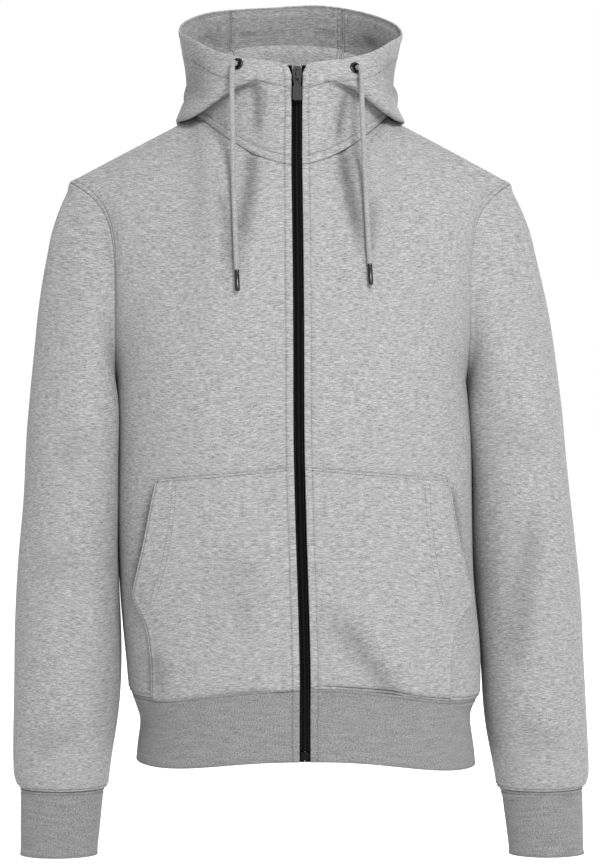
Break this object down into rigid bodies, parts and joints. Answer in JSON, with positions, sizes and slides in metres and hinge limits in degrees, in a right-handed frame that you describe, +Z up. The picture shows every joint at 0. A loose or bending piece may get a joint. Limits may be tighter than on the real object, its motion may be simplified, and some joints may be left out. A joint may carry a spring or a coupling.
{
  "type": "zip up hoodie",
  "caption": "Zip up hoodie, filled out as if worn: closed front zip, hood lying back, set-in sleeves, rib cuffs and hem, slanted patch pockets and drawstring ends.",
  "frame": {"origin": "middle of the neck opening, at the height of the neck point of the shoulders", "axes": "+Z up, front of the garment towards -Y, +X to the right as seen from the front"},
  "size_m": [0.6243, 0.3091, 0.9318],
  "materials": {
    "fleece": "heather grey brushed fleece with a fine knit face",
    "rib": "fine heather grey rib knit",
    "zip_tape": "matt black woven tape",
    "zip_coil": "black moulded coil",
    "metal": "gunmetal",
    "cord": "round braided heather grey cord"
  },
  "bodies": {
    "garment": {"front_left": "fleece", "front_right": "fleece", "back": "fleece", "sleeve_left": "fleece", "sleeve_right": "fleece", "cuff_left": "rib", "cuff_right": "rib", "hem_rib": "rib", "hood_left": "fleece", "hood_right": "fleece", "hood_centre": "fleece", "pocket_left": "fleece", "pocket_right": "fleece", "zip_tape_left": "zip_tape", "zip_tape_right": "zip_tape", "zip_chain": "zip_coil", "zip_box": "zip_coil", "zip_slider": "metal", "eyelet_left": "metal", "eyelet_right": "metal", "cord_left": "cord", "cord_right": "cord", "aglet_left": "metal", "aglet_right": "metal"},
    "pull": {"zip_pull": "metal"}
  },
  "joints": [
    {"name": "pull_swing", "type": "hinge", "parent": "garment", "child": "pull", "pos_m": [0.0012, -0.10683, 0.03237], "axis": [-1, 0, 0], "range_deg": [0, 135]}
  ]
}
